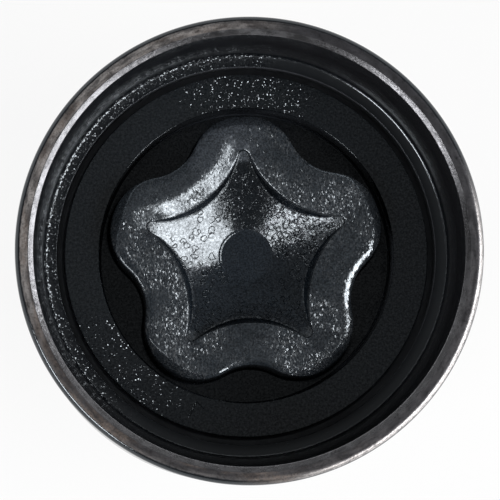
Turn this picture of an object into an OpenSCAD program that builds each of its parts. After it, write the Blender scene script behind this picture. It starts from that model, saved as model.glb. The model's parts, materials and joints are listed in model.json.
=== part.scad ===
// Locking wheel nut with a free-spinning collar, standing on its seat end, drive end up.
// The body is one forged and turned piece: a 60 degree seat, a shoulder, a flat ring
// and, down in an annular well, a five-lobed boss with a five-pointed recess in its top.
// The collar is a steel sleeve that turns freely round the body, so that no wrench or
// pliers can grip it: its inner lip lies over the shoulder and its lower edge is rolled
// in under it. Millimetres, Z up, the origin in the middle of the seat end face.

/* [Spin collar] */
// Outer diameter of the collar
collar_d = 26; // [24:0.1:32]
// Height of the collar from its rolled lower edge to its rim
collar_h = 30.8; // [26:0.1:36]
// Wall of the collar round the shoulder
collar_wall = 1.5; // [1.2:0.05:2.2]
// How far the cup widens from the shelf up to the rim, on the radius
cup_taper = 0.47; // [0:0.01:0.7]
// Radius of the worn outer corner of the rim
rim_round = 0.5; // [0.1:0.05:0.6]
// Width of the chamfer inside the rim
rim_chamfer_w = 0.3; // [0.05:0.01:0.35]
// Height of the chamfer inside the rim
rim_chamfer_h = 0.14; // [0.05:0.01:0.8]
// How far the inner lip reaches in over the shoulder
lip_w = 0.78; // [0.6:0.01:1.2]
// Thickness of the inner lip at its edge
lip_t = 2; // [1:0.05:3]
// Fillet between the shelf on the lip and the wall of the cup
shelf_fillet = 0.32; // [0.1:0.01:0.5]
// How far the shelf rises from the lip's edge out to its fillet
shelf_rise = 0.04; // [0:0.01:0.2]
// How far the lower edge is rolled in under the shoulder
roll_w = 1.2; // [0.8:0.05:1.6]
// Broken corner of the rolled lower edge
roll_edge = 0.2; // [0.05:0.01:0.3]
// Radius inside the roll
roll_inner_round = 0.4; // [0.2:0.05:0.6]

/* [Drive end] */
// Depth of the flat ring below the rim
ring_depth = 6; // [4.5:0.1:9]
// Width of the flat ring
ring_w = 1.84; // [1:0.02:2.4]
// Gap between the flat ring and the collar's inner lip
ring_gap = 0.5; // [0.3:0.01:0.8]
// Depth of the annular well below the flat ring
well_depth = 3.5; // [2:0.1:5]
// Gap between the lobe tips and the wall of the well
lobe_gap = 0.48; // [0.3:0.02:1]

/* [Five-lobed boss] */
// Height of the boss above the flat ring
boss_rise = 1.5; // [0.5:0.05:3]
// How far the lobe tips stand out beyond the bottoms of the notches
lobe_rise = 1.67; // [1.2:0.01:1.8]
// Rounding radius of the lobe tips
lobe_round = 3; // [2.5:0.05:3.2]
// Width of the turned chamfer across the lobe tips
lobe_chamfer = 0.57; // [0.2:0.01:0.9]
// Broken edge all round the top of the boss
boss_edge = 0.2; // [0.05:0.01:0.3]
// Draft of the boss flanks in degrees
boss_draft = 1; // [0:0.25:3]

/* [Five-pointed recess] */
// Width over which the top of the boss rolls down to the edge of the recess
land_roll_w = 0.9; // [0.4:0.05:1]
// Drop of the top of the boss at the edge of the recess
land_drop = 0.14; // [0.02:0.01:0.25]
// Radius to the points of the recess
star_tip_r = 5.87; // [5:0.01:6.2]
// Rounding radius of the points
star_tip_round = 0.31; // [0.26:0.01:0.5]
// Radius to the middle of the recess flanks
star_valley_r = 3.86; // [3.4:0.01:4.2]
// Depth of the recess down to the flat disc in the middle
star_depth = 2.3; // [1.8:0.05:3]
// Diameter of the flat disc in the middle of the floor
star_disc_d = 2.96; // [2:0.02:4]
// Rise of the conical floor towards the points in degrees
star_floor_angle = 25; // [18:0.5:30]
// Draft of the recess walls in degrees
star_draft = 9; // [2:0.5:10]

/* [Body and seat] */
// Height of the collar's lower edge above the seat end face
collar_z = 7.2; // [6.2:0.1:12]
// Outer diameter of the flat seat end face
seat_end_d = 14.4; // [13.2:0.1:16]
// Included angle of the conical seat in degrees
seat_angle = 60; // [60:1:90]
// Chamfer on the edges of the shoulder
shoulder_chamfer = 0.5; // [0.2:0.05:0.8]
// Broken edges of the flat ring
ring_edge = 0.06; // [0.03:0.01:0.25]
// Height of the ring's stem from the top of the shoulder to the lip's underside
lip_play = 0.15; // [0.1:0.01:0.4]
// Radial running gap between the shoulder and the collar
run_gap = 0.2; // [0.1:0.01:0.4]
// Gap between the neck and the rolled edge, and under the shoulder
roll_gap = 0.25; // [0.15:0.01:0.5]

/* [Thread] */
// Nominal diameter of the thread
thread_d = 12; // [10:0.5:12.5]
// Pitch of the thread
thread_pitch = 1.5; // [1:0.25:1.75]
// Solid web left between the drill point and the floor of the well
web_t = 4.4; // [2.5:0.1:8]
// Point angle of the drilled blind hole in degrees
drill_angle = 118; // [90:1:140]
// Diameter of the chamfer at the mouth of the thread
mouth_d = 12.4; // [12.1:0.05:13]

/* [Hidden] */
$fn = 96;

lobes = 5;
half_pitch = 180 / lobes;
steel_black = [0.13, 0.135, 0.15];
collar_black = [0.16, 0.16, 0.165];

// The hole is drawn at the crest diameter of the thread, and ends in a drill point
minor_r = (thread_d - 1.0825 * thread_pitch) / 2;
mouth_r = mouth_d / 2;
drill_point_h = minor_r / tan(drill_angle / 2);

// Heights, from the seat end face up
rim_z = collar_z + collar_h;
ring_z = rim_z - ring_depth;
well_z = ring_z - well_depth;
boss_z = ring_z + boss_rise;
lip_under_z = ring_z - lip_t;
shoulder_top_z = lip_under_z - lip_play;
roll_top_z = collar_z + collar_wall;
shoulder_low_z = roll_top_z + roll_gap;
thread_end_z = well_z - web_t - drill_point_h;

// Radii, from the collar inwards
collar_r = collar_d / 2;
bore_r = collar_r - collar_wall;
rim_bore_r = bore_r + cup_taper;
lip_r = bore_r - lip_w;
shoulder_r = bore_r - run_gap;
ring_r = lip_r - ring_gap;
well_r = ring_r - ring_w;
lobe_tip_r = well_r - lobe_gap;
lobe_valley_r = lobe_tip_r - lobe_rise;
roll_r = bore_r - roll_w;
neck_r = roll_r - roll_gap;
seat_end_r = seat_end_d / 2;
seat_h = (neck_r - seat_end_r) / tan(seat_angle / 2);

// Recess floor: a shallow cone round a flat disc
disc_r = star_disc_d / 2;
floor_slope = tan(star_floor_angle);
star_inner_r = star_valley_r - 0.35;
star_edge_z = boss_z - land_drop;
star_wall_h = star_depth - land_drop - (star_inner_r - disc_r) * floor_slope;
over = 1;

// Points of a circular arc, from one angle to another
function arc(centre, r, from, to, steps) =
    [for (i = [0:steps]) centre + r * [cos(from + (to - from) * i / steps), sin(from + (to - from) * i / steps)]];

// A lobed outline is a ring of round tips joined by hollow flanks, all arcs tangent.
// The distance from the axis to the centre of a flank's arc follows from the tangency.
function flank_centre(tip_r, tip_round, valley_r) =
    let (d = tip_r - tip_round, k = tip_round - valley_r)
    (d * d - k * k) / (2 * (d * cos(half_pitch) + k));

// Growing the outline moves every point along its own normal, so the flanks can have draft
function lobed_outline(tip_r, tip_round, valley_r, grow, tip_steps, flank_steps) =
    let (
        d = tip_r - tip_round,
        v = flank_centre(tip_r, tip_round, valley_r),
        tip_half = atan2(v * sin(half_pitch), v * cos(half_pitch) - d),
        flank_half = tip_half - half_pitch
    )
    [for (i = [0:lobes - 1])
        let (
            a = 90 + 2 * half_pitch * i,
            b = a + half_pitch,
            tip = arc(d * [cos(a), sin(a)], tip_round + grow, a - tip_half, a + tip_half, tip_steps),
            flank = arc(v * [cos(b), sin(b)], v - valley_r - grow,
                b + 180 + flank_half, b + 180 - flank_half, flank_steps)
        )
        each concat(tip, [for (k = [1:flank_steps - 1]) flank[k]])];

// Solid through a stack of outlines, each given as [height, outline]
module loft(rings) {
    n = len(rings[0][1]);
    last = len(rings) - 1;
    points = concat(
        [for (ring = rings) each [for (p = ring[1]) [p[0], p[1], ring[0]]]],
        [[0, 0, rings[0][0]], [0, 0, rings[last][0]]]
    );
    low = n * len(rings);
    sides = [for (j = [0:last - 1], i = [0:n - 1])
        let (i2 = (i + 1) % n)
        each [
            [j * n + i, (j + 1) * n + i, (j + 1) * n + i2],
            [j * n + i, (j + 1) * n + i2, j * n + i2]
        ]];
    caps = [for (i = [0:n - 1])
        let (i2 = (i + 1) % n)
        each [[low, i, i2], [low + 1, last * n + i2, last * n + i]]];
    polyhedron(points = points, faces = concat(sides, caps));
}

// Five-lobed boss: drafted flanks, a broken top edge and a turned chamfer over the lobes
module lobed_boss() {
    root_z = well_z - over;
    edge_z = boss_z - boss_edge;
    root_grow = (edge_z - root_z) * tan(boss_draft);
    intersection() {
        loft([
            [root_z, lobed_outline(lobe_tip_r, lobe_round, lobe_valley_r, root_grow, 12, 6)],
            [edge_z, lobed_outline(lobe_tip_r, lobe_round, lobe_valley_r, 0, 12, 6)],
            [boss_z, lobed_outline(lobe_tip_r, lobe_round, lobe_valley_r, -boss_edge, 12, 6)]
        ]);
        rotate_extrude()
            polygon([
                [0, root_z - over],
                [well_r + over, root_z - over],
                [well_r + over, boss_z - lobe_chamfer - over - lobe_gap],
                [lobe_tip_r - lobe_chamfer, boss_z],
                [0, boss_z]
            ]);
    }
}

// Outline of the five-pointed recess, grown along its normal
function star_outline(grow) = lobed_outline(star_tip_r, star_tip_round, star_valley_r, grow, 6, 10);

// Space of the five-pointed recess: the top of the boss rolls down to its edge in two
// facets, and drafted walls go from there to a shallow conical floor
module star_recess() {
    roll_slope = land_drop / land_roll_w / 2;
    clear_w = 1.2 * land_roll_w;
    intersection() {
        loft([
            [star_edge_z - star_wall_h, star_outline(-star_wall_h * tan(star_draft))],
            [star_edge_z, star_outline(0)],
            [boss_z - land_drop / 4, star_outline(land_roll_w / 2)],
            [boss_z + (clear_w - land_roll_w) * roll_slope, star_outline(clear_w)],
            [boss_z + over, star_outline(clear_w)]
        ]);
        recess_floor(lobe_tip_r);
    }
    recess_floor(star_inner_r);
}

// Everything above the conical floor, out to a given radius
module recess_floor(r) {
    rotate_extrude()
        polygon([
            [0, boss_z - star_depth],
            [disc_r, boss_z - star_depth],
            [r, boss_z - star_depth + (r - disc_r) * floor_slope],
            [r, boss_z + 2 * over],
            [0, boss_z + 2 * over]
        ]);
}

// Turned form of the body: seat, neck, shoulder, flat ring, well and blind hole
module turned_body() {
    rotate_extrude()
        polygon([
            [mouth_r, 0],
            [seat_end_r, 0],
            [neck_r, seat_h],
            [neck_r, shoulder_low_z],
            [shoulder_r - shoulder_chamfer, shoulder_low_z],
            [shoulder_r, shoulder_low_z + shoulder_chamfer],
            [shoulder_r, shoulder_top_z - shoulder_chamfer],
            [shoulder_r - shoulder_chamfer, shoulder_top_z],
            [ring_r, shoulder_top_z],
            [ring_r, ring_z - ring_edge],
            [ring_r - ring_edge, ring_z],
            [well_r + ring_edge, ring_z],
            [well_r, ring_z - ring_edge],
            [well_r, well_z],
            [0, well_z],
            [0, thread_end_z + drill_point_h],
            [minor_r, thread_end_z],
            [minor_r, mouth_r - minor_r]
        ]);
}

// The forged and turned nut itself
module nut_body() {
    color(steel_black)
    difference() {
        union() {
            turned_body();
            lobed_boss();
        }
        star_recess();
    }
}

// The free-spinning sleeve, with its cup, inner lip and rolled lower edge
module spin_collar() {
    roll_outer_round = collar_wall + roll_inner_round;
    roll_centre = [bore_r - roll_inner_round, roll_top_z + roll_inner_round];
    shelf_centre = [bore_r - shelf_fillet, ring_z + shelf_rise + shelf_fillet];
    color(collar_black)
    rotate_extrude()
        polygon(concat(
            [[roll_r, collar_z + roll_edge], [roll_r + roll_edge, collar_z]],
            arc(roll_centre, roll_outer_round, -90, 0, 8),
            arc([collar_r - rim_round, rim_z - rim_round], rim_round, 0, 90, 6),
            [[rim_bore_r + rim_chamfer_w, rim_z], [rim_bore_r, rim_z - rim_chamfer_h]],
            arc(shelf_centre, shelf_fillet, 0, -90, 6),
            [[lip_r, ring_z], [lip_r, lip_under_z], [bore_r, lip_under_z]],
            arc(roll_centre, roll_inner_round, 0, -90, 4),
            [[roll_r, roll_top_z]]
        ));
}

nut_body();
spin_collar();
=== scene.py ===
import json
import math

import bmesh
import bpy
from mathutils import Matrix, Vector


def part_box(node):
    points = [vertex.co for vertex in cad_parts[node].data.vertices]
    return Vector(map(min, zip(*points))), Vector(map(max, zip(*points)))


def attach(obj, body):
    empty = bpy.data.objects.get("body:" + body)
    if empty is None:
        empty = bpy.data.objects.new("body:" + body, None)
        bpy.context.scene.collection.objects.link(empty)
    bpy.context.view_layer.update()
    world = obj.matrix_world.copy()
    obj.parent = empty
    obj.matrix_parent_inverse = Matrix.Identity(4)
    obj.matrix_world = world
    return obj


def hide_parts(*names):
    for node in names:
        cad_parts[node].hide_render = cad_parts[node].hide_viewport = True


bl_info = {
    "name": "Locking wheel nut",
    "version": (1, 0, 0),
    "blender": (4, 5, 0),
    "location": "3D View > Sidebar > Wheel nut",
    "description": "Models the forged body and the free-spinning collar of a locking wheel nut",
    "category": "Add Mesh",
}

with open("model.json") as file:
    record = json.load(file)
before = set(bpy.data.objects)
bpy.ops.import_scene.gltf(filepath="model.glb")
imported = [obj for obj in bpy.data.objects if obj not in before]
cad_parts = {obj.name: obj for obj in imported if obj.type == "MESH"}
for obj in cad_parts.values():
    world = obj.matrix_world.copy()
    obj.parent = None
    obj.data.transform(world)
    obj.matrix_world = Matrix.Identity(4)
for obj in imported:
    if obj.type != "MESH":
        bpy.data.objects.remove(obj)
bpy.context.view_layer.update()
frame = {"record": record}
BODY_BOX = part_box("nut_body")
COLLAR_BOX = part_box("spin_collar")
THREAD = next(m for m in frame["record"]["mounts"] if m["name"] == "stud_thread")

MM = 0.001
LOBES = 5
PITCH = 2 * math.pi / LOBES
HALF_PITCH = PITCH / 2
PER_LOBE = 36
SEGMENTS = LOBES * PER_LOBE
# The rings of points start in the middle of the valley before the lobe on the +Y axis
FIRST_VALLEY = math.pi / 2 - HALF_PITCH
COLLAR_SEGMENTS = 360
MERGE = 1e-7
COATING_IOR = 1.7
# Share of the floor and backdrop that the camera sees as plain white
GLOW = 0.9
LAMP_DISTANCE = 0.8
# Azimuth and elevation of each lamp in degrees, then its width and height in metres
LAMPS = {"key": (335.5, 40, 0.84, 0.2), "side": (217, 42, 0.37, 0.11), "low": (330, 6, 0.8, 0.17)}
# Directions round the axis, in degrees: where the nut is worn most and its rim is painted paler as a
# highlight, and where its land rolls down deepest
WORN_AND_LIT_SIDE, DEEP_SIDE = 325, 126
# Share of the land's roll over which its slope grows
ROLL_BEND = 0.4
BOSS_Z = BODY_BOX[1].z
RIM_Z = COLLAR_BOX[1].z


def length(name, description, millimetres):
    """A length in the sidebar, given in millimetres and kept in metres."""
    return bpy.props.FloatProperty(
        name=name, description=description, default=millimetres * MM, precision=5,
        unit="LENGTH", subtype="DISTANCE"
    )


def tilt(name, description, degrees):
    """An angle in the sidebar, given in degrees and kept in radians."""
    return bpy.props.FloatProperty(
        name=name, description=description, default=math.radians(degrees), unit="ROTATION", subtype="ANGLE"
    )


def tint(name, description, red, green, blue):
    """A linear colour in the sidebar."""
    return bpy.props.FloatVectorProperty(
        name=name, description=description, default=(red, green, blue), size=3, subtype="COLOR", min=0, max=1
    )


def level(name, description, watts):
    """A lamp's power or a strength in the sidebar."""
    return bpy.props.FloatProperty(name=name, description=description, default=watts, min=0)


class NutBodySizes(bpy.types.PropertyGroup):
    """Sizes of the forged body: its drive end, its seat and its thread."""

    ring_depth: length("Ring depth", "Flat ring below the rim of the collar", 6)
    ring_r: length("Ring radius", "Outer radius of the flat ring", 10.3)
    ring_edge: length("Ring edge", "Rounded edges of the flat ring", 0.035)
    well_r: length("Well radius", "Radius of the annular well", 8.38)
    well_depth: length("Well depth", "Depth of the well below the flat ring", 3.5)
    foot_round: length("Foot fillet", "Fillet at the foot of the well's walls", 0.14)
    lobe_tip_r: length("Lobe tips", "Radius to the tips of the lobes", 7.9)
    lobe_round: length("Lobe rounding", "Rounding radius of the lobe tips", 3)
    lobe_valley_r: length("Lobe valleys", "Radius to the bottoms of the notches", 6.23)
    lobe_chamfer_r: length("Lobe chamfer", "Radius at which the turned chamfer starts", 7.33)
    boss_edge_w: length("Boss edge width", "Width of the worn edge of the boss", 0.55)
    boss_edge_tilt: tilt("Boss edge tilt", "Tilt of the worn edge of the boss", 24.5)
    boss_draft: tilt("Boss draft", "Draft of the boss flanks", 1)
    land_roll_w: length("Land roll", "Width over which the land rolls down to the star", 1.3)
    land_roll: tilt("Land roll angle", "Tilt of the land at the edge of the star", 24)
    star_tip_r: length("Star points", "Radius to the points of the star", 5.87)
    star_tip_round: length("Star point rounding", "Rounding radius of the points", 0.31)
    star_valley_r: length("Star flanks", "Radius to the middle of the flanks", 3.86)
    star_edge: length("Star edge", "Broken edge round the star", 0.055)
    star_depth: length("Star depth", "Depth of the star down to its flat disc", 2.3)
    star_draft: tilt("Star draft", "Draft of the walls of the star", 14)
    disc_r: length("Disc radius", "Radius of the flat disc of the floor", 1.48)
    floor_angle: tilt("Floor angle", "Rise of the conical floor towards the points", 25)
    shoulder_r: length("Shoulder radius", "Radius of the shoulder inside the collar", 11.3)
    shoulder_edge: length("Shoulder edge", "Chamfer on the edges of the shoulder", 0.5)
    shoulder_top: length("Shoulder top", "Height of the top of the shoulder", 29.85)
    shoulder_low: length("Shoulder underside", "Height of the underside of the shoulder", 8.95)
    neck_r: length("Neck radius", "Radius of the neck, where the seat ends", 10.05)
    seat_end_r: length("Seat end radius", "Outer radius of the flat end of the seat", 7.2)
    seat_angle: tilt("Seat angle", "Included angle of the conical seat", 60)
    mouth_r: length("Thread mouth", "Radius of the chamfer at the thread's mouth", 6.2)
    thread_r: length("Thread radius", "Nominal radius of the thread", 6)
    thread_pitch: length("Thread pitch", "Pitch of the thread", 1.5)
    drill_angle: tilt("Drill angle", "Point angle of the blind hole", 118)


class SpinCollarSizes(bpy.types.PropertyGroup):
    """Sizes of the free-spinning collar."""

    wall: length("Wall", "Wall of the collar round the shoulder", 1.5)
    cup_taper: length("Cup taper", "How far the cup widens up to the rim, on the radius", 0.47)
    rim_round: length("Rim rounding", "Worn outer corner of the rim", 0.36)
    rim_chamfer_w: length("Rim chamfer width", "Width of the chamfer inside the rim", 0.3)
    rim_chamfer_h: length("Rim chamfer height", "Height of the chamfer inside the rim", 0.14)
    shelf_depth: length("Shelf depth", "Depth of the lip's top edge below the rim", 6)
    shelf_rise: length("Shelf rise", "Rise of the shelf from the lip's edge to its fillet", 0.04)
    shelf_fillet: length("Shelf fillet", "Fillet between the shelf and the wall of the cup", 0.32)
    lip_w: length("Lip width", "Reach of the inner lip over the shoulder", 0.72)
    lip_t: length("Lip thickness", "Thickness of the inner lip at its edge", 2)
    lip_edge: length("Lip edge", "Rounded edge of the lip", 0.025)
    roll_w: length("Roll width", "How far the lower edge is rolled in", 1.2)
    roll_edge: length("Roll edge", "Broken corner of the rolled edge", 0.2)
    roll_inner_round: length("Roll rounding", "Radius inside the roll", 0.4)


class FinishColours(bpy.types.PropertyGroup):
    """Colours of the coating, the worn steel, the painted light and shade, and the stage."""

    body_black: tint("Body coating", "Near-black blue-grey coating of the body", 0.0043, 0.0063, 0.0086)
    pit_black: tint("Pits", "Fine pits and the outlines of dried drops", 0.0013, 0.0015, 0.0019)
    star_grey: tint("Star floor", "Blue-grey floor of the star", 0.0108, 0.0158, 0.0222)
    land_grey: tint("Land", "Rubbed blue-grey top of the boss", 0.024, 0.0298, 0.0367)
    land_pale: tint("Pale land", "Paler top of the upper lobe", 0.0405, 0.048, 0.0595)
    gap_light: tint("Gap light", "Painted light on the walls of the ring gap", 0.115, 0.122, 0.138)
    collar_black: tint("Collar coating", "Near-black coating of the collar", 0.0044, 0.0053, 0.007)
    sheen: tint("Sheen", "Tint of the coating's reflections", 0.87, 0.94, 1)
    rim_dark: tint("Dark rim", "Dull grey steel of the rim", 0.114, 0.114, 0.125)
    rim_specks: tint("Rim specks", "Dark specks on the worn rim", 0.063, 0.056, 0.052)
    rim_worn_and_lit: tint("Worn rim and painted highlight", "Bare streaky steel of the rim", 0.63, 0.6, 0.588)
    rim_brown: tint("Rim brown", "Brown film on the worn rim", 0.33, 0.272, 0.24)
    rim_bright: tint("Bright rim", "Polished chamfer inside the rim", 0.38, 0.38, 0.4)
    well_grey: tint("Well", "Floor of the well and flanks of the boss", 0.0105, 0.0125, 0.016)
    well_wall: tint("Well wall", "Outer wall of the well", 0.05, 0.056, 0.067)
    chamfer_dark: tint("Dark chamfer", "Painted shade on the lit chamfer inside the rim", 0.0127, 0.0127, 0.014)
    side_grey: tint("Inner walls", "Painted light on the inner walls", 0.0152, 0.0152, 0.0171)
    rubbed: tint("Rubbed specks and painted glints", "Light specks on the land, partly rubbed coating and partly painted glints", 0.177, 0.185, 0.194)
    floor_white: tint("Floor", "Pale floor and backdrop", 0.85, 0.85, 0.85)


class StudioSettings(bpy.types.PropertyGroup):
    """Camera, lamps and floor."""

    camera_x: length("Camera X", "Camera from the middle of the rim, along X", -7.9)
    camera_y: length("Camera Y", "Camera from the middle of the rim, along Y", -11.3)
    camera_height: length("Camera height", "Camera above the rim", 220)
    camera_lens: bpy.props.FloatProperty(
        name="Lens", description="Focal length of the camera in millimetres", default=287, min=1
    )
    picture_turn: tilt("Picture turn", "Turn of the picture about the line of sight", 1.9)
    key_level: level("Key lamp", "Power of the large lamp at the right", 7.2)
    side_level: level("Side lamp", "Power of the smaller lamp at the left", 2.53)
    low_level: level("Low lamp", "Power of the low lamp at the right", 1.42)
    sky_level: level("Sky", "Strength of the soft light from all round", 0.126)


def rounded_profile(corners, steps=5):
    """Points (radius, height) along corners given as (radius, height, rounding)."""
    points = []
    for i, (r, z, fillet) in enumerate(corners):
        here = Vector((r, z))
        if fillet == 0 or i in (0, len(corners) - 1):
            points.append(here)
            continue
        before = (Vector(corners[i - 1][:2]) - here).normalized()
        after = (Vector(corners[i + 1][:2]) - here).normalized()
        half = before.angle(after) / 2
        reach = fillet / math.tan(half)
        centre = here + (before + after).normalized() * (fillet / math.sin(half))
        start = here + before * reach - centre
        end = here + after * reach - centre
        points += [centre + start.lerp(end, k / steps).normalized() * fillet for k in range(steps + 1)]
    return points


def arc_points(centre, radius, start, end, steps):
    """Points (radius, height) on an arc of the profile, angles in degrees."""
    turn = [math.radians(start + (end - start) * i / steps) for i in range(steps + 1)]
    return [Vector((centre[0] + radius * math.cos(a), centre[1] + radius * math.sin(a))) for a in turn]


def pick(*pieces):
    """Selects these pieces alone, and makes the last one active."""
    bpy.ops.object.select_all(action="DESELECT")
    for piece in pieces:
        piece.select_set(True)
        bpy.context.view_layer.objects.active = piece


def draw_profile(name, points):
    """New object in edit mode, a chain of edges through points (radius, height) in the XZ plane."""
    pick()
    bpy.ops.mesh.primitive_plane_add(size=MM, location=(0, 0, 0))
    drawn = bpy.context.object
    drawn.name = name
    bpy.ops.object.mode_set(mode="EDIT")
    bpy.ops.mesh.select_all(action="SELECT")
    bpy.ops.mesh.merge(type="CENTER")
    bpy.ops.transform.translate(value=(points[0].x, 0, points[0].y))
    for here, there in zip(points, points[1:]):
        step = there - here
        bpy.ops.mesh.extrude_vertices_move(TRANSFORM_OT_translate={"value": (step.x, 0, step.y)})
    return drawn


def turn_profile(name, points, segments):
    """New object in edit mode, turned about the Z axis from a profile of (radius, height) points."""
    turned = draw_profile(name, points)
    bpy.ops.mesh.select_all(action="SELECT")
    bpy.ops.mesh.spin(steps=segments, angle=2 * math.pi, center=(0, 0, 0), axis=(0, 0, 1))
    bpy.ops.mesh.select_all(action="SELECT")
    bpy.ops.mesh.remove_doubles(threshold=MERGE)
    return turned


def close_up(piece, material, smooth_angle=38):
    """Merges doubles, turns the faces outwards, leaves edit mode, shades the piece smooth and coats it."""
    bpy.ops.mesh.select_all(action="SELECT")
    bpy.ops.mesh.remove_doubles(threshold=MERGE)
    bpy.ops.mesh.dissolve_degenerate(threshold=MERGE)
    bpy.ops.mesh.select_all(action="SELECT")
    bpy.ops.mesh.normals_make_consistent(inside=False)
    bpy.ops.object.mode_set(mode="OBJECT")
    pick(piece)
    bpy.ops.object.shade_smooth_by_angle(angle=math.radians(smooth_angle))
    piece.data.materials.clear()
    piece.data.materials.append(material)


def round_axis(point):
    """Turn of a point about the axis, counted from just before the first valley."""
    start = FIRST_VALLEY - HALF_PITCH / PER_LOBE
    return (math.atan2(point.y, point.x) - start) % (2 * math.pi)


def select_ring(piece, radius, height):
    """Selects the ring of edges that has this radius and height."""
    mesh = bmesh.from_edit_mesh(piece.data)
    bpy.ops.mesh.select_all(action="DESELECT")
    for vert in mesh.verts:
        vert.select = abs(vert.co.xy.length - radius) < 10 * MERGE and abs(vert.co.z - height) < 10 * MERGE
    mesh.select_flush(True)
    bmesh.update_edit_mesh(piece.data)


def lay_ring(piece, place, height, wear=0.0, roll=0.0):
    """Extrudes the selected ring onto place(index), at height(index, place), with its wear and roll."""
    places = [place(i) for i in range(SEGMENTS)]
    points = [Vector((*flat, height(i, flat))) for i, flat in enumerate(places)]
    bpy.ops.mesh.extrude_edges_move()
    mesh = bmesh.from_edit_mesh(piece.data)
    layers = mesh.verts.layers.float
    for name in ("wear", "roll"):
        if layers.get(name) is None:
            layers.new(name)
    worn, rolled = layers["wear"], layers["roll"]
    ring = sorted((vert for vert in mesh.verts if vert.select), key=lambda vert: round_axis(vert.co))
    if len(ring) != len(points):
        raise RuntimeError(f"the ring has {len(ring)} points and not {len(points)}")
    for vert, point in zip(ring, points):
        vert.co = point
        vert[worn] = wear
        vert[rolled] = roll
    bmesh.update_edit_mesh(piece.data)


class LobedOutline:
    """Ring of round tips joined by hollow flanks, all arcs tangent."""

    def __init__(self, tip_r, tip_round, valley_r, tip_steps):
        self.tip_round = tip_round
        self.tip_centre = tip_r - tip_round
        k = tip_round - valley_r
        d = self.tip_centre
        self.flank_centre = (d * d - k * k) / (2 * (d * math.cos(HALF_PITCH) + k))
        self.flank_round = self.flank_centre - valley_r
        across = self.flank_centre * math.sin(HALF_PITCH)
        self.tip_half = math.atan2(across, self.flank_centre * math.cos(HALF_PITCH) - d)
        self.flank_half = self.tip_half - HALF_PITCH
        self.tip_steps = tip_steps
        self.flank_steps = (PER_LOBE - tip_steps) // 2

    def point(self, index, grow):
        """Point number index of the ring, moved out along its own normal by grow."""
        lobe, step = divmod(index, PER_LOBE)
        valley = FIRST_VALLEY + lobe * PITCH
        if step < self.flank_steps:
            centre, radius = self.polar(self.flank_centre, valley), self.flank_round - grow
            turn = valley + math.pi - self.flank_half * step / self.flank_steps
        elif step < self.flank_steps + self.tip_steps:
            tip = valley + HALF_PITCH
            centre, radius = self.polar(self.tip_centre, tip), self.tip_round + grow
            turn = tip + self.tip_half * (2 * (step - self.flank_steps) / self.tip_steps - 1)
        else:
            after = valley + PITCH
            part = (step - self.flank_steps - self.tip_steps) / self.flank_steps
            centre, radius = self.polar(self.flank_centre, after), self.flank_round - grow
            turn = after + math.pi + self.flank_half * (1 - part)
        return centre + self.polar(radius, turn)

    @staticmethod
    def polar(radius, turn):
        """Point in the plane at this radius and turn."""
        return Vector((radius * math.cos(turn), radius * math.sin(turn)))


def circle_point(index, radius):
    """Point number index of a round ring."""
    return LobedOutline.polar(radius, FIRST_VALLEY + index * 2 * math.pi / SEGMENTS)


def soft_positive(value, softness):
    """The value where it is positive and zero elsewhere, with a rounded bend."""
    return (value + math.hypot(value, softness)) / 2


def held_in(point, limit):
    """The point, brought in along its radius if it lies beyond the limit."""
    return point * min(1, limit / point.length)


def one_sided(point, degrees, least, start=0.1, full=0.7):
    """Share at a point: 1 in this direction from the axis, and the least on the far side."""
    turn = math.radians(degrees)
    facing_it = (point.x * math.cos(turn) + point.y * math.sin(turn)) / point.length
    share = min(1, max(0, (facing_it - start) / (full - start)))
    return least + (1 - least) * share**2 * (3 - 2 * share)


def sloping(knots, start):
    """Drop from the place start to 1 along a slope given at knots (place, slope)."""
    drop = 0
    for (near, near_slope), (far, far_slope) in zip(knots, knots[1:]):
        begin = max(near, start)
        if begin < far:
            slope = near_slope + (far_slope - near_slope) * (begin - near) / (far - near)
            drop += (slope + far_slope) / 2 * (far - begin)
    return drop


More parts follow.
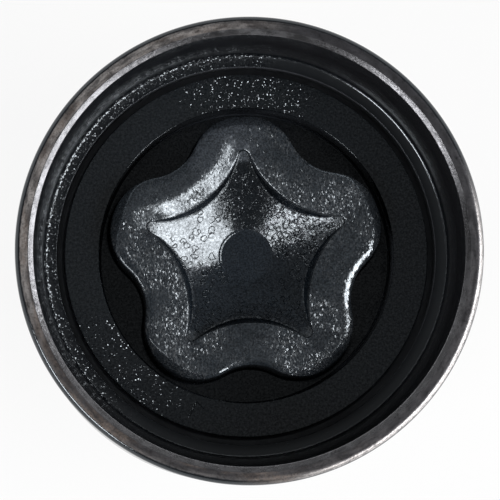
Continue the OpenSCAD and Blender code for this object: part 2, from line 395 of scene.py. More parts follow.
def raise_boss(piece, size):
    """Extrudes the well floor up into the five-lobed boss, as far as the rolled edge of the star."""
    boss = LobedOutline(size.lobe_tip_r, size.lobe_round, size.lobe_valley_r, 18)
    star = LobedOutline(size.star_tip_r, size.star_tip_round, size.star_valley_r, 10)
    well_z = RIM_Z - size.ring_depth - size.well_depth
    foot, edge_w = size.foot_round, size.boss_edge_w
    slope = math.tan(size.boss_edge_tilt)
    edge_slopes = ((0, 3.2 * slope), (0.22, 1.05 * slope), (0.7, 0.95 * slope), (1, 0))
    soften = 0.05 * MM

    def top(point, inset):
        """Height of the top of the boss at a point that lies inset from its flank."""
        width = edge_w * one_sided(point, WORN_AND_LIT_SIDE, 0.4)
        rounding = width * sloping(edge_slopes, inset / width)
        chamfer = soft_positive(point.length - size.lobe_chamfer_r, soften)
        return BOSS_Z - math.hypot(rounding, chamfer)

    def draft(height):
        return (BOSS_Z - height) * math.tan(size.boss_draft)

    def land_drop(point, part):
        """How far the land has sunk at this part of the way down to the star."""
        sunk = part**2 / (2 * ROLL_BEND) if part < ROLL_BEND else part - ROLL_BEND / 2
        deepest = math.tan(size.land_roll) * size.land_roll_w
        return deepest * sunk * one_sided(point, DEEP_SIDE, 0.4, 0.72, 0.97)

    for step in range(5):
        bend = math.pi / 2 * step / 4
        z = well_z + foot * (1 - math.cos(bend))
        grow = draft(z) + foot * (1 - math.sin(bend))
        lay_ring(piece, lambda i: boss.point(i, grow), lambda i, p: z)
    for part in (0.3, 0.6, 0.85, 0.95):
        def flank_height(i):
            return well_z + foot + (top(boss.point(i, 0), 0) - well_z - foot) * part
        lay_ring(piece, lambda i: boss.point(i, draft(flank_height(i))), lambda i, p: flank_height(i))
    edge_wear = (
        (0, 0.3), (0.02, 0.6), (0.07, 0.9), (0.15, 1), (0.26, 1), (0.4, 1), (0.56, 0.8), (0.74, 0.5),
        (0.93, 0.2))
    for part, wear in edge_wear:
        inset = edge_w * part
        lay_ring(piece, lambda i: boss.point(i, -inset), lambda i, p: top(p, inset), wear)
    land_edges = ((0, 0.08), (0.03, 0.03), (0.06, -0.02), (0.1, -0.07))
    for inset, beyond in land_edges:
        inset = edge_w + inset * MM
        limit = size.lobe_chamfer_r + beyond * MM
        lay_ring(piece, lambda i: held_in(boss.point(i, -inset), limit), lambda i, p: top(p, inset))
    for part in (0.35, 0.7):
        lay_ring(
            piece,
            lambda i: held_in(boss.point(i, -inset), limit).lerp(star.point(i, size.land_roll_w), part),
            lambda i, p: top(p, inset))
    for part in (0, 0.1, 0.2, 0.32, 0.44, 0.56, 0.68, 0.78, 0.87, 0.93):
        grow, roll = size.land_roll_w * (1 - part), min(1, part / ROLL_BEND)
        lay_ring(
            piece, lambda i: star.point(i, grow), lambda i, p: top(p, inset) - land_drop(p, part), roll=roll)
    return [BOSS_Z - land_drop(star.point(i, 0), 1) for i in range(SEGMENTS)]


def sink_star(piece, size, edges):
    """Extrudes the inner edge of the land down into the five-pointed recess with its conical floor."""
    star = LobedOutline(size.star_tip_r, size.star_tip_round, size.star_valley_r, 10)
    edge = size.star_edge
    slope = math.tan(size.floor_angle)
    draft = math.tan(size.star_draft)
    disc_z = BOSS_Z - size.star_depth
    corner = 0.05 * MM

    def floor_z(radius):
        return disc_z + soft_positive(radius - size.disc_r, 0.06 * MM) * slope

    def foot(i):
        """Foot of the wall at point i of the ring."""
        depth = 0
        for step in range(4):
            depth = edges[i] - edge - floor_z(star.point(i, -depth * draft).length)
        return star.point(i, -depth * draft), depth

    for bend in (25, 50, 90):
        bend = math.radians(bend)
        grow, drop = edge * (1 - math.sin(bend)), edge * (1 - math.cos(bend))
        lay_ring(piece, lambda i: star.point(i, grow), lambda i, p: edges[i] - drop, 0.85)
    feet = [foot(i) for i in range(SEGMENTS)]
    for part in (0.35, 0.7):
        lay_ring(
            piece, lambda i: star.point(i, -feet[i][1] * part * draft),
            lambda i, p: edges[i] - edge - feet[i][1] * part)
    for lift, inset in ((corner, 0), (0.3 * corner, 0.3 * corner), (0, corner)):
        lay_ring(
            piece, lambda i: feet[i][0] * (1 - inset / feet[i][0].length),
            lambda i, p: floor_z(p.length) + lift)
    inner = size.disc_r * 1.12
    for part in (0.12, 0.26, 0.42, 0.6, 0.8, 1):
        lay_ring(
            piece, lambda i: feet[i][0].lerp(circle_point(i, inner), part), lambda i, p: floor_z(p.length))
    for part in (1.05, 1, 0.95, 0.88, 0.6, 0.25):
        radius = size.disc_r * part
        lay_ring(piece, lambda i: circle_point(i, radius), lambda i, p: floor_z(p.length))
    bpy.ops.mesh.extrude_edges_move()
    bpy.ops.mesh.merge(type="CENTER")


def cut_thread(size, end_z):
    """New object, the helical wall of the threaded hole from its mouth up to the drill point."""
    crest_r = THREAD["dims"]["r_mm"] * MM
    pitch = size.thread_pitch
    root_r = size.thread_r
    crest, flank = pitch / 4, (root_r - crest_r) * math.tan(math.radians(30))
    heights = [0, crest, crest + flank / 2, crest + flank, pitch - flank, pitch - flank / 2, pitch]
    middle = (crest_r + root_r) / 2
    radii = [crest_r, crest_r, middle, root_r, root_r, middle, crest_r]
    points = [Vector((r, z - 2 * pitch)) for r, z in zip(radii, heights)]
    thread = draw_profile("thread_wall", points)
    bpy.ops.object.mode_set(mode="OBJECT")
    screw = thread.modifiers.new("turns", "SCREW")
    screw.screw_offset = pitch
    screw.iterations = int(end_z / pitch) + 4
    screw.steps = screw.render_steps = SEGMENTS
    screw.use_merge_vertices = True
    screw.merge_threshold = MERGE
    bpy.ops.object.modifier_apply(modifier=screw.name)
    run_out = 0.9 * pitch
    for vert in thread.data.vertices:
        z = min(max(vert.co.z, 0), end_z)
        deepest = crest_r + (root_r - crest_r) * min(1, (end_z - z) / run_out)
        radius = max(min(vert.co.xy.length, deepest), size.mouth_r - z)
        vert.co = (*vert.co.xy.normalized() * radius, z)
    return thread


def add_nut_body():
    """Models the forged and turned body as one closed mesh."""
    size, colours = bpy.context.scene.nut_body_sizes, bpy.context.scene.nut_finish
    crest_r = THREAD["dims"]["r_mm"] * MM
    end_z = size.mouth_r - crest_r + THREAD["dims"]["length_mm"] * MM
    ring_z = RIM_Z - size.ring_depth
    well_z = ring_z - size.well_depth
    seat_h = (size.neck_r - size.seat_end_r) / math.tan(size.seat_angle / 2)
    floor_r = size.well_r - size.foot_round - 0.02 * MM
    edge, shoulder, fine = size.ring_edge, size.shoulder_edge, 0.06 * MM
    outside = rounded_profile([
        (size.mouth_r, 0, 0),
        (size.seat_end_r, 0, 0.2 * MM),
        (size.neck_r, seat_h, 0.3 * MM),
        (size.neck_r, size.shoulder_low, 0.2 * MM),
        (size.shoulder_r - shoulder, size.shoulder_low, fine),
        (size.shoulder_r, size.shoulder_low + shoulder, fine),
        (size.shoulder_r, size.shoulder_top - shoulder, fine),
        (size.shoulder_r - shoulder, size.shoulder_top, fine),
        (size.ring_r, size.shoulder_top, 0.2 * MM),
        (size.ring_r, ring_z, edge),
        (size.well_r, ring_z, edge),
        (size.well_r, well_z, size.foot_round),
        (floor_r, well_z, 0),
    ])
    body = turn_profile("body_dressed", outside, SEGMENTS)
    select_ring(body, floor_r, well_z)
    sink_star(body, size, raise_boss(body, size))
    bpy.ops.object.mode_set(mode="OBJECT")
    hole = rounded_profile([
        (crest_r, end_z, 0),
        (0, end_z + crest_r / math.tan(size.drill_angle / 2), 0),
    ])
    drill = turn_profile("drill_point", hole, SEGMENTS)
    bpy.ops.object.mode_set(mode="OBJECT")
    thread = cut_thread(size, end_z)
    pick(thread, drill, body)
    bpy.ops.object.join()
    bpy.ops.object.mode_set(mode="EDIT")
    close_up(body, body_coating(size, colours))
    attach(body, "nut")
    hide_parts("nut_body")


def add_spin_collar():
    """Models the free-spinning collar with its cup, lip, rolled edge and worn rim."""
    size, colours = bpy.context.scene.spin_collar_sizes, bpy.context.scene.nut_finish
    outer_r, low = COLLAR_BOX[1].x, COLLAR_BOX[0].z
    bore_r = outer_r - size.wall
    lip_r, lip_z = bore_r - size.lip_w, RIM_Z - size.shelf_depth
    rim_bore = bore_r + size.cup_taper
    roll_top = low + size.wall
    roll_centre = (bore_r - size.roll_inner_round, roll_top + size.roll_inner_round)
    roll_r = bore_r - size.roll_w
    profile = arc_points(roll_centre, size.wall + size.roll_inner_round, -90, 0, 12)
    profile += arc_points((outer_r - size.rim_round, RIM_Z - size.rim_round), size.rim_round, 0, 90, 10)
    profile += rounded_profile([
        (outer_r - size.rim_round - 0.02 * MM, RIM_Z, 0),
        (rim_bore + size.rim_chamfer_w, RIM_Z, 0.1 * MM),
        (rim_bore, RIM_Z - size.rim_chamfer_h, 0.06 * MM),
        (bore_r, lip_z + size.shelf_rise, size.shelf_fillet),
        (lip_r, lip_z, size.lip_edge),
        (lip_r, lip_z - size.lip_t, 0),
    ], 8)
    profile.append(Vector((bore_r, lip_z - size.lip_t)))
    profile += arc_points(roll_centre, size.roll_inner_round, 0, -90, 5)
    roll_end = ((roll_r, roll_top), (roll_r, low + size.roll_edge), (roll_r + size.roll_edge, low))
    profile += [Vector(point) for point in roll_end]
    profile.append(profile[0])
    collar = turn_profile("collar_dressed", profile, COLLAR_SEGMENTS)
    close_up(collar, collar_coating(size, colours))
    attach(collar, "collar")
    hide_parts("spin_collar")


class Field:
    """A number, colour or vector that varies over a surface. Arithmetic on it adds Math nodes."""

    def __init__(self, finish, socket):
        self.finish = finish
        self.socket = socket

    def beside(self, name):
        """Another output of the same node."""
        return Field(self.finish, self.socket.node.outputs[name])

    def __add__(self, other):
        return self.finish.math("ADD", self, other)

    def __sub__(self, other):
        return self.finish.math("SUBTRACT", self, other)

    def __rsub__(self, other):
        return self.finish.math("SUBTRACT", other, self)

    def __mul__(self, other):
        return self.finish.math("MULTIPLY", self, other)

    def __or__(self, other):
        """The larger of the two, so that masks are laid over each other."""
        return self.finish.math("MAXIMUM", self, other)

    def __abs__(self):
        return self.finish.math("ABSOLUTE", self)

    def span(self, start, end, low=0.0, high=1.0):
        """The field mapped smoothly from start..end to low..high."""
        inputs = {"Value": self, "From Min": start, "From Max": end, "To Min": low, "To Max": high}
        return self.finish.add("MapRange", "Result", inputs, interpolation_type="SMOOTHSTEP")


class Finish:
    """A new material with its node tree and its shader."""

    def __init__(self, name):
        self.material = bpy.data.materials.new(name)
        self.material.use_nodes = True
        self.tree = self.material.node_tree
        self.shader = self.tree.nodes["Principled BSDF"]

    def feed(self, socket, value):
        """Links a field to a socket, or sets the socket to a plain value."""
        if isinstance(value, Field):
            self.tree.links.new(value.socket, socket)
        else:
            socket.default_value = value

    def add(self, kind, output, inputs, **choices):
        """Adds a node with its choices and inputs, and gives one of its outputs."""
        made = self.tree.nodes.new("ShaderNode" + kind)
        for name, value in choices.items():
            setattr(made, name, value)
        for socket, value in inputs.items():
            self.feed(made.inputs[socket], value)
        return Field(self, made.outputs[output])

    def math(self, operation, first, second=0.0):
        """Result of a Math node."""
        return self.add("Math", 0, {0: first, 1: second}, operation=operation)

    def set_shader(self, **values):
        """Feeds the shader's sockets, with the spaces of their names written as _."""
        for name, value in values.items():
            self.feed(self.shader.inputs[name.replace("_", " ")], value)


class Coating(Finish):
    """A material whose patterns lie on the metal, with a normal that each step bends further."""

    def __init__(self, name):
        super().__init__(name)
        self.coords = self.add("TexCoord", "Object", {})
        across = self.add("SeparateXYZ", "X", {"Vector": self.coords})
        flat = self.add("CombineXYZ", 0, {"X": across, "Y": across.beside("Y"), "Z": 0.0})
        self.radius = self.vector("LENGTH", flat)
        self.height = across.beside("Z")
        self.normal = None

    def vector(self, operation, first, second=None):
        """Result of a Vector Math node, a number or a vector."""
        inputs = {0: first}
        if second is not None:
            inputs["Scale" if operation == "SCALE" else 1] = second
        output = "Value" if operation in ("LENGTH", "DISTANCE", "DOT_PRODUCT") else "Vector"
        return self.add("VectorMath", output, inputs, operation=operation)

    def share(self, name):
        """A share that the mesh keeps at its points."""
        return self.add("Attribute", "Fac", {}, attribute_name=name)

    def stretched(self, x, y, z):
        """Coordinates scaled along each axis."""
        return self.vector("MULTIPLY", self.coords, (x, y, z))

    def round_axis(self, reach):
        """Coordinates drawn together round the axis, so that a texture makes streaks along the rim."""
        unit = self.vector("NORMALIZE", self.stretched(1, 1, 0))
        lift = self.add("CombineXYZ", 0, {"X": 0.0, "Y": 0.0, "Z": self.radius - self.height})
        return self.vector("ADD", self.vector("SCALE", unit, reach), lift)

    def toward(self, degrees):
        """Cosine of the angle between the point and a direction, seen along the nut's axis."""
        turn = math.radians(degrees)
        unit = self.vector("NORMALIZE", self.stretched(1, 1, 0))
        return self.vector("DOT_PRODUCT", unit, (math.cos(turn), math.sin(turn), 0))

    def sector(self, degrees, start, full, low=0.0, high=1.0):
        """Mask round a direction, from the cosine at which it starts to the one at which it is full."""
        return self.toward(degrees).span(start, full, low, high)

    def noise(self, feature, detail, roughness, coords=None):
        """Noise whose features are about this size in metres."""
        grain = {"Scale": 1 / feature, "Detail": detail, "Roughness": roughness}
        return self.add("TexNoise", "Fac", {"Vector": coords or self.coords, **grain})

    def blend(self, factor, first, second):
        """Colour between two colours."""
        first, second = (end if isinstance(end, Field) else (*end, 1) for end in (first, second))
        return self.add("Mix", 2, {"Factor": factor, 6: first, 7: second}, data_type="RGBA")

    def bump(self, height, depth, strength=1.0):
        """Bends the normal by a height from 0 to 1, which stands for this depth in metres."""
        inputs = {"Height": height, "Distance": depth, "Strength": strength}
        if self.normal:
            inputs["Normal"] = self.normal
        self.normal = self.add("Bump", "Normal", inputs)

    def lean(self, slope):
        """Leans the normal aside by a slope."""
        self.normal = self.vector("NORMALIZE", self.vector("ADD", self.normal, slope))

    def glints(self, cell, share, slope, amount, least=0.12, coords=None):
        """Leans the normal by small facets, of which only a share stands out, up to this slope."""
        inputs = {"Vector": coords or self.coords, "Scale": 1 / cell, "Randomness": 1.0}
        cells = self.add("TexVoronoi", "Color", inputs)
        strong = self.add("SeparateColor", "Blue", {"Color": cells}).span(1 - share, 1.0, least, 1.0)
        strong = strong * amount * (2 * slope)
        aside = self.vector("MULTIPLY", self.vector("SUBTRACT", cells, (0.5, 0.5, 0.5)), (1, 1, 0))
        self.lean(self.vector("SCALE", aside, strong))

    def dried_rings(self, cell, low, rise, patches, line_w):
        """Thin raised outlines of dried drops, from 0 to 1, drawn where the patches let them."""
        warp = self.add("TexNoise", "Color", {"Vector": self.coords, "Scale": 1.8 / cell, "Detail": 2.0})
        bent = self.vector("ADD", self.coords, self.vector("SCALE", warp, 0.75 * cell))
        inputs = {"Vector": bent, "Scale": 1 / cell, "Randomness": 0.9}
        cells = self.add("TexVoronoi", "Color", inputs, voronoi_dimensions="2D")
        red = self.add("SeparateColor", "Red", {"Color": cells})
        away = abs(cells.beside("Distance") - (red * rise + low))
        some = self.math("GREATER_THAN", red.beside("Green"), 0.25)
        return away.span(0.3 * line_w, line_w, 1.0, 0.0) * patches * some

    def scratch(self, start, end, width):
        """A thin straight mark from start to end, both (x, y) in millimetres, from 0 to 1."""
        start, end = Vector((*start, 0)) * MM, Vector((*end, 0)) * MM
        reach, along = (end - start).length, (end - start).normalized()
        local = self.vector("SUBTRACT", self.coords, start)
        down = self.vector("DOT_PRODUCT", local, along)
        aside = self.vector("DOT_PRODUCT", local, (-along.y, along.x, 0))
        line = abs(aside).span(0.2 * width, width, 1.0, 0.0)
        return line * (down.span(0.0, 0.1 * reach) * down.span(reach, 0.9 * reach))


def body_coating(size, colours):
    """Glossy near-black coating of the body, rubbed on the boss, with dried drops in the star."""
    coat = Coating("body_coating")
    radius, height = coat.radius, coat.height
    wear, roll = coat.share("wear"), coat.share("roll")
    ring_z = RIM_Z - size.ring_depth
    well_z = ring_z - size.well_depth
    inside = radius.span(size.star_tip_r + 0.15 * MM, size.star_tip_r)
    star = inside * height.span(BOSS_Z - 0.38 * MM, BOSS_Z - 0.48 * MM)
    boss = height.span(BOSS_Z - 0.6 * MM, BOSS_Z - 0.4 * MM)
    ring = radius.span(size.well_r, size.well_r + 0.05 * MM)
    ring *= height.span(ring_z - 0.1 * MM, ring_z - 0.05 * MM)
    off_disc = radius.span(size.disc_r, size.disc_r + 0.2 * MM)
    fine = coat.noise(0.1 * MM, 2, 0.6)
    grain = coat.noise(0.16 * MM, 2, 0.6)
    blotches = coat.noise(0.55 * MM, 3, 0.6)
    waves = coat.noise(1.1 * MM, 2, 0.5)
    right = coat.sector(28, 0.72, 0.95)
    top_wedge = coat.sector(90, 0.8, 0.94)
    rolled = coat.sector(DEEP_SIDE, 0.62, 0.88) * boss
    rough_star = star * (right * 0.35)

    coat.bump(waves, 0.06 * MM, 0.5)
    coat.bump(blotches, 0.04 * MM, boss * 0.5 + rough_star)
    coat.bump(grain, 0.02 * MM, rough_star + 0.15)
    low_edge = wear * coat.sector(298, 0.93, 0.985)
    aside = low_edge | roll * coat.sector(135, 0.915, 0.985)
    coat.lean(coat.vector("SCALE", (0.25, 0.07, 0), aside))

    # Sparkles of the flat ring, then of the land, then of the star
    sparkling = coat.sector(88, 0.84, 0.97) | coat.sector(222, 0.84, 0.98)
    coat.glints(0.052 * MM, 0.65, 0.65, ring * (sparkling * 0.62 + 0.12), 0.2)
    calm = coat.sector(268, 0.93, 0.985) | coat.sector(344, 0.93, 0.985)
    calm |= coat.sector(66, 0.8, 0.97, 0.0, 0.6)
    clusters = coat.noise(1.6 * MM, 2, 0.5).span(0.34, 0.6, 0.3, 0.95) * (1.0 - calm * 0.65)
    dull = rolled * 0.7 | (wear - low_edge) * 0.9
    coat.glints(0.056 * MM, 0.85, 0.8, boss * clusters * (1.0 - dull), 0.2, coat.stretched(1, 0.5, 1))
    in_star = star * (top_wedge * 0.34 + 0.1) + rough_star * 0.5
    on_disc = star * (1.0 - off_disc)
    coat.glints(0.06 * MM, 0.45, 0.7, in_star * off_disc + on_disc * 0.24)

    sparse = coat.noise(1.5 * MM, 1, 0.5).span(0.42, 0.52)
    low = (coat.toward(270) * radius).span(2.6 * MM, 3.3 * MM, 0.0, 0.6)
    wide = coat.dried_rings(0.5 * MM, 0.18, 0.26, sparse * 0.7, 0.07)
    dense = coat.dried_rings(0.36 * MM, 0.22, 0.24, right | low, 0.14)
    drops = (wide | dense) * star * off_disc
    coat.bump(drops, 0.008 * MM)
    brink = abs(radius - size.disc_r).span(0.0, 0.09 * MM, 1.0, 0.0) * star
    coat.bump(brink, 0.03 * MM, coat.sector(190, -0.3, 0.5) * 0.8)
    marks = (
        ((-0.44, -3.9), (-0.474, -4.92), 0.03), ((-2.73, 3.63), (-2.33, 3.22), 0.04),
        ((-3.57, -9.08), (-3.09, -8.19), 0.05), ((-3.09, -8.19), (-2.7, -8.65), 0.04),
    )
    nick_place = (3.58 * MM, 5.14 * MM, BOSS_Z)
    nick = coat.vector("DISTANCE", coat.coords, nick_place).span(0.1 * MM, 0.2 * MM, 1.0, 0.0)
    scratches, *others = (coat.scratch(start, end, width * MM) for start, end, width in marks)
    for mark in (*others, nick):
        scratches |= mark
    coat.bump(1.0 - scratches, 0.05 * MM)

    shine = drops.span(0.1, 0.8, 0.5, 0.1) * fine.span(0.3, 0.7, 0.65, 1.35)
    glossy = wear * coat.sector(335, -0.5, 0.75, -0.22, 0.35) + ring * coat.sector(165, -0.2, 0.8, 0.05, 0.22)
    glossy += rolled * 0.13
    shaded = height.span(ring_z - 0.6 * MM, well_z + 0.2 * MM, 1.0, 0.72) | inside
    shaded *= (star * top_wedge * off_disc).span(0.0, 1.0, 1.0, 0.7)
    shine = (shine + glossy) * shaded * grain.span(0.3, 0.7, 0.7, 1.3)
    rough = waves.span(0.3, 0.7, 0.1, 0.18) + boss * ((1.0 - wear) * 0.13) + star * 0.07

    # Painted shade: the top wedge of the star floor keeps the near-black coating instead of the floor's grey.
    colour = coat.blend(star * (1.0 - top_wedge * off_disc), colours.body_black, colours.star_grey)
    colour = coat.blend(drops * 0.7, colour, colours.pit_black)
    land = boss * blotches.span(0.25, 0.75, 0.6, 1.3)
    tone = coat.blend(coat.sector(100, 0.9, 0.98) * 0.9, colours.land_grey, colours.land_pale)
    colour = coat.blend(land * calm.span(0.0, 1.0, 1.0, 0.8), colour, tone)
    colour = coat.blend(fine.span(0.35, 0.65, 0.3, 1.0), colours.pit_black, colour)
    # Light specks on the land: partly rubbed coating and partly painted glints, fewer where the land rolls
    # down.
    specks = coat.noise(0.075 * MM, 2, 0.7, coat.stretched(1, 0.45, 1)).span(0.47, 0.75, 0.0, 0.7)
    specks = specks * (clusters * boss) * (1.0 - rolled * 0.8)
    colour = coat.blend(specks, colour, colours.rubbed)
    # Painted light: the walls below the flat ring are paler than the coating, lifting the shade they lie in.
    outside = radius.span(size.well_r - 0.12 * MM, size.well_r - 0.06 * MM)
    sides = outside * height.span(ring_z - 0.02 * MM, ring_z - 0.06 * MM)
    colour = coat.blend(sides, colour, colours.side_grey)
    # Painted light: the floor of the well and the flanks of the boss are paler than the coating, and the
    # well's outer wall paler still.
    in_well = radius.span(size.well_r + 0.08 * MM, size.well_r + 0.03 * MM) * (1.0 - inside)
    in_well *= height.span(ring_z - 0.05 * MM, ring_z - 0.3 * MM)
    in_well *= height.span(well_z - 0.2 * MM, well_z - 0.1 * MM)
    colour = coat.blend(in_well, colour, colours.well_grey)
    colour = coat.blend(in_well * outside, colour, colours.well_wall)
    # Painted light: the walls of the ring gap are paler still.
    in_gap = radius.span(size.ring_r - 0.04 * MM, size.ring_r - 0.02 * MM) * sides
    colour = coat.blend(in_gap, colour, colours.gap_light)
    coat.set_shader(Base_Color=colour, Roughness=rough, Specular_IOR_Level=shine, Normal=coat.normal,
                    IOR=COATING_IOR, Specular_Tint=(*colours.sheen, 1))
    return coat.material


def collar_coating(size, colours):
    """Glossy near-black coating of the collar, worn down to bare streaky steel on the rim; painted highlight
    and shade on the rim, painted light in the cup.
    """
    coat = Coating("collar_coating")
    radius, height = coat.radius, coat.height
    outer_r = COLLAR_BOX[1].x
    lip_z = RIM_Z - size.shelf_depth
    lip_r = outer_r - size.wall - size.lip_w
    grain = coat.noise(0.16 * MM, 2, 0.6)
    mottles = coat.noise(0.35 * MM, 4, 0.7)
    patches = coat.noise(0.9 * MM, 4, 0.65)
    along_rim = coat.round_axis(3 * MM)
    streaks = coat.noise(0.22 * MM, 3, 0.6, along_rim)
    blurs = coat.noise(0.8 * MM, 3, 0.6, along_rim)
    upper_left = coat.sector(143, 0.35, 0.85)
    lower_left = coat.sector(236, 0.3, 0.8)
    lower_right = coat.sector(WORN_AND_LIT_SIDE, 0.45, 0.85)

    # Painted highlight on real wear: the outer skirt is bare steel only on the lower right, where the key
    # lamp reflects.
    skirt = (radius + mottles * (0.12 * MM)).span(outer_r - 0.27 * MM, outer_r - 0.17 * MM)
    bare = (height + patches * (0.2 * MM)).span(RIM_Z - 0.13 * MM, RIM_Z - 0.03 * MM)
    bare *= 1.0 - skirt * (1.0 - lower_right)
    chamfer = radius.span(outer_r - 0.7 * MM, outer_r - 0.76 * MM)
    middle = radius.span(outer_r - 0.74 * MM, outer_r - 0.66 * MM)
    # Painted highlight on real wear: the rim is painted as paler bare steel on its upper left and lower
    # right, where the lamps reflect.
    low_worn = lower_left * radius.span(outer_r - 0.5 * MM, outer_r - 0.38 * MM) * 0.2
    right_wear_and_highlight = lower_right * radius.span(outer_r - 0.3 * MM, outer_r - 0.2 * MM, 0.08, 0.9)
    worn = (upper_left * middle | (low_worn | right_wear_and_highlight)) * streaks.span(0.3, 0.6, 0.25, 1.0)
    film = coat.blend(worn, colours.rim_dark, colours.rim_worn_and_lit)
    brown = (upper_left | lower_left) * middle
    brown = brown * blurs.span(0.4, 0.62, 0.1, 0.9) * grain.span(0.35, 0.6, 0.45, 1.0)
    film = coat.blend(brown, film, colours.rim_brown)
    film = coat.blend(chamfer, film, colours.rim_bright)
    # Painted shade: the chamfer inside the rim is darkened on the upper left and upper right, where the
    # lamps' highlights fall on it.
    lit = upper_left | coat.sector(36, 0.5, 0.9)
    film = coat.blend(lit * chamfer * 0.8, film, colours.chamfer_dark)
    film = coat.blend(mottles.span(0.5, 0.8, 0.0, 0.7), film, colours.collar_black)
    specks = coat.noise(0.1 * MM, 2, 0.6).span(0.48, 0.68, 0.0, 0.5)
    film = coat.blend(specks * middle, film, colours.rim_specks)

    # Painted light: the cup's wall above the shelf is paler than the coating, least on the upper left.
    on_wall = height.span(lip_z + 0.2 * MM, lip_z + 0.6 * MM)
    on_wall *= radius.span(outer_r - 0.9 * MM, outer_r - 1 * MM)
    on_wall *= coat.sector(150, 0.2, 0.8, 1.0, 0.25)
    colour = coat.blend(on_wall, colours.collar_black, colours.side_grey)
    # Painted light: the lip's inner wall down in the gap is paler than the coating.
    in_gap = radius.span(lip_r + 0.03 * MM, lip_r + 0.01 * MM)
    in_gap *= height.span(lip_z - 0.02 * MM, lip_z - 0.05 * MM)
    colour = coat.blend(in_gap, colour, colours.gap_light)
    colour = coat.blend(bare, colour, film)

    coat.bump(patches, 0.03 * MM, 0.1)
    coat.bump(mottles, 0.02 * MM, bare * 0.6)
    coat.bump(grain, 0.02 * MM, 0.1)
    inner = radius.span(outer_r - size.wall + size.cup_taper, outer_r - size.wall + 0.3 * MM)
    climb = coat.sector(205, 0.6, 0.95) * (-0.6 * MM)
    foot = (height + climb).span(lip_z + 0.75 * MM, lip_z + 0.25 * MM) * inner
    foot *= height.span(lip_z - 0.2 * MM, lip_z - 0.1 * MM)
    shelf = inner * height.span(lip_z + 0.1 * MM, lip_z + 0.05 * MM)
    amount = foot * (1.8 - shelf * 1.3) * coat.sector(155, 0.1, 0.4, 0.06, 1.0)
    coat.glints(0.062 * MM, 0.75, 0.7, amount + 0.03, 0.45)

    dusty = coat.noise(0.09 * MM, 2, 0.6).span(0.35, 0.65, 0.08, 0.6)
    gleam = coat.blend(foot * (1.0 - shelf), (0.5, 0.5, 0.5), dusty)
    gleam = gleam * (1.0 - shelf) + radius.span(lip_r, lip_r + 0.45 * MM, 0.35, 0.68) * shelf
    matt = inner * height.span(lip_z + 2.2 * MM, lip_z + 0.5 * MM, 0.0, 0.18)
    matt *= height.span(lip_z + 0.08 * MM, lip_z + 0.3 * MM, 0.3, 1.0)
    coat_rough = patches.span(0.3, 0.7, 0.1, 0.2) + matt
    bare_rough = streaks.span(0.3, 0.7, 0.36, 0.48) - chamfer * 0.16
    rough = coat_rough + bare * (bare_rough - coat_rough)
    coat.set_shader(Base_Color=colour, Metallic=bare, Roughness=rough, Specular_IOR_Level=gleam,
                    Normal=coat.normal, IOR=COATING_IOR, Specular_Tint=(*colours.sheen, 1))
    return coat.material


def background_material(name, colour):
    """Pale matt surface that the camera and mirrors see near white, and that still takes a shadow."""
    pale = Finish(name)
    pale.set_shader(Base_Color=(*colour, 1), Roughness=0.9, Specular_IOR_Level=0.1)
    camera = pale.add("LightPath", "Is Camera Ray", {})
    seen = camera | camera.beside("Is Glossy Ray") | camera.beside("Is Transmission Ray")
    white = pale.add("Emission", 0, {"Color": (1, 1, 1, 1), "Strength": 1.0})
    lit = Field(pale, pale.shader.outputs[0])
    mixed = pale.add("MixShader", 0, {0: seen * GLOW, 1: lit, 2: white})
    pale.feed(pale.tree.nodes["Material Output"].inputs["Surface"], mixed)
    return pale.material


def facing(place, target, up):
    """Turn of a camera or lamp at place that looks at target, with up as its picture's upward direction."""
    back = (place - target).normalized()
    right = up.cross(back).normalized()
    return Matrix((right, back.cross(right), back)).transposed().to_euler()


def add_lamp(name, azimuth, elevation, width, height, power):
    """Large soft lamp that faces the drive end of the nut."""
    target = Vector((0, 0, RIM_Z))
    turn, rise = math.radians(azimuth), math.radians(elevation)
    away = Vector((math.cos(turn) * math.cos(rise), math.sin(turn) * math.cos(rise), math.sin(rise)))
    place = target + away * LAMP_DISTANCE
    bpy.ops.object.light_add(type="AREA", location=place, rotation=facing(place, target, Vector((0, 0, 1))))
    lamp = bpy.context.object
    lamp.name = name
    lamp.data.shape = "RECTANGLE"
    lamp.data.size = width
    lamp.data.size_y = height
    lamp.data.energy = power


def stage_piece(name, white):
    """Names the new stage piece, applies its place and makes it white."""
    piece = bpy.context.object
    piece.name = name
    bpy.ops.object.transform_apply(location=True, rotation=True, scale=True)
    piece.data.materials.append(background_material(name + "_white", white))
    return piece


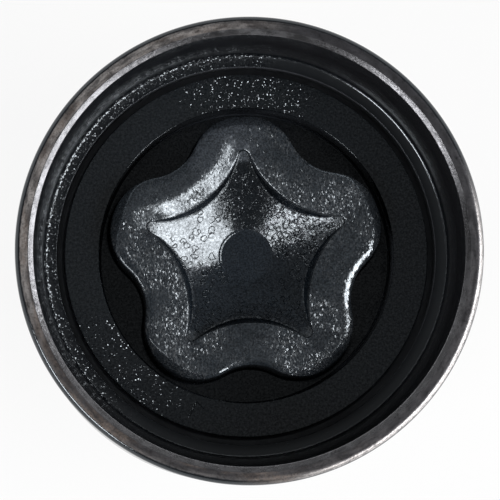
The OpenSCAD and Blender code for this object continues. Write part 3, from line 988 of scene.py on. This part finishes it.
def add_studio():
    """Sets the floor, the backdrop, the lamps and the camera."""
    scene = bpy.context.scene
    white, studio = scene.nut_finish.floor_white, scene.nut_studio
    reach, wall_h, sunk, floor_gap = 1.6, 0.8, 0.02, 0.02 * MM
    pick()
    bpy.ops.mesh.primitive_circle_add(
        vertices=96, radius=reach, fill_type="NGON", location=(0, 0, -floor_gap))
    floor = stage_piece("floor", white)
    pick()
    bpy.ops.mesh.primitive_cylinder_add(
        vertices=96, radius=reach, depth=wall_h, end_fill_type="NOTHING", location=(0, 0, wall_h / 2 - sunk))
    stage_piece("backdrop", white)
    world = bpy.data.worlds.new("soft_sky")
    world.use_nodes = True
    world.node_tree.nodes["Background"].inputs["Color"].default_value = (1, 1, 1, 1)
    world.node_tree.nodes["Background"].inputs["Strength"].default_value = studio.sky_level
    scene.world = world
    for name, place in LAMPS.items():
        add_lamp(name + "_lamp", *place, getattr(studio, name + "_level"))
    rim = Vector((0, 0, RIM_Z))
    place = rim + Vector((studio.camera_x, studio.camera_y, studio.camera_height))
    up = Vector((math.sin(studio.picture_turn), math.cos(studio.picture_turn), 0))
    bpy.ops.object.camera_add(location=place, rotation=facing(place, rim, up))
    camera = bpy.context.object
    camera.name = "photo_camera"
    camera.data.lens = studio.camera_lens
    camera.data.clip_start = 0.01
    scene.camera = camera
    scene.view_settings.view_transform = "Standard"


class NUT_OT_add_body(bpy.types.Operator):
    """Add the forged body with its lobed boss, star recess, seat and thread"""

    bl_idname = "wheel_nut.add_body"
    bl_label = "Add nut body"

    def execute(self, context):
        add_nut_body()
        return {"FINISHED"}


class NUT_OT_add_collar(bpy.types.Operator):
    """Add the free-spinning collar"""

    bl_idname = "wheel_nut.add_collar"
    bl_label = "Add spinning collar"

    def execute(self, context):
        add_spin_collar()
        return {"FINISHED"}


class NUT_OT_add_studio(bpy.types.Operator):
    """Add the floor, the lamps and the camera"""

    bl_idname = "wheel_nut.add_studio"
    bl_label = "Add studio"

    def execute(self, context):
        add_studio()
        return {"FINISHED"}


class NUT_PT_sidebar(bpy.types.Panel):
    """Lists the nut's operators, sizes and colours"""

    bl_idname = "NUT_PT_sidebar"
    bl_label = "Wheel nut"
    bl_space_type = "VIEW_3D"
    bl_region_type = "UI"
    bl_category = "Wheel nut"

    def draw(self, context):
        for step in (NUT_OT_add_body, NUT_OT_add_collar, NUT_OT_add_studio):
            self.layout.operator(step.bl_idname)
        for name, kind in GROUPS.items():
            box = self.layout.box()
            for setting in kind.__annotations__:
                box.prop(getattr(context.scene, name), setting)


GROUPS = {
    "nut_body_sizes": NutBodySizes,
    "spin_collar_sizes": SpinCollarSizes,
    "nut_finish": FinishColours,
    "nut_studio": StudioSettings,
}
CLASSES = (*GROUPS.values(), NUT_OT_add_body, NUT_OT_add_collar, NUT_OT_add_studio, NUT_PT_sidebar)


def register():
    for item in CLASSES:
        bpy.utils.register_class(item)
    for name, group in GROUPS.items():
        setattr(bpy.types.Scene, name, bpy.props.PointerProperty(type=group))


def unregister():
    for name in GROUPS:
        delattr(bpy.types.Scene, name)
    for item in reversed(CLASSES):
        bpy.utils.unregister_class(item)


def main():
    """Builds the dressed nut and its studio."""
    register()
    bpy.ops.wheel_nut.add_body()
    bpy.ops.wheel_nut.add_collar()
    bpy.ops.wheel_nut.add_studio()


if __name__ == "__main__":
    main()
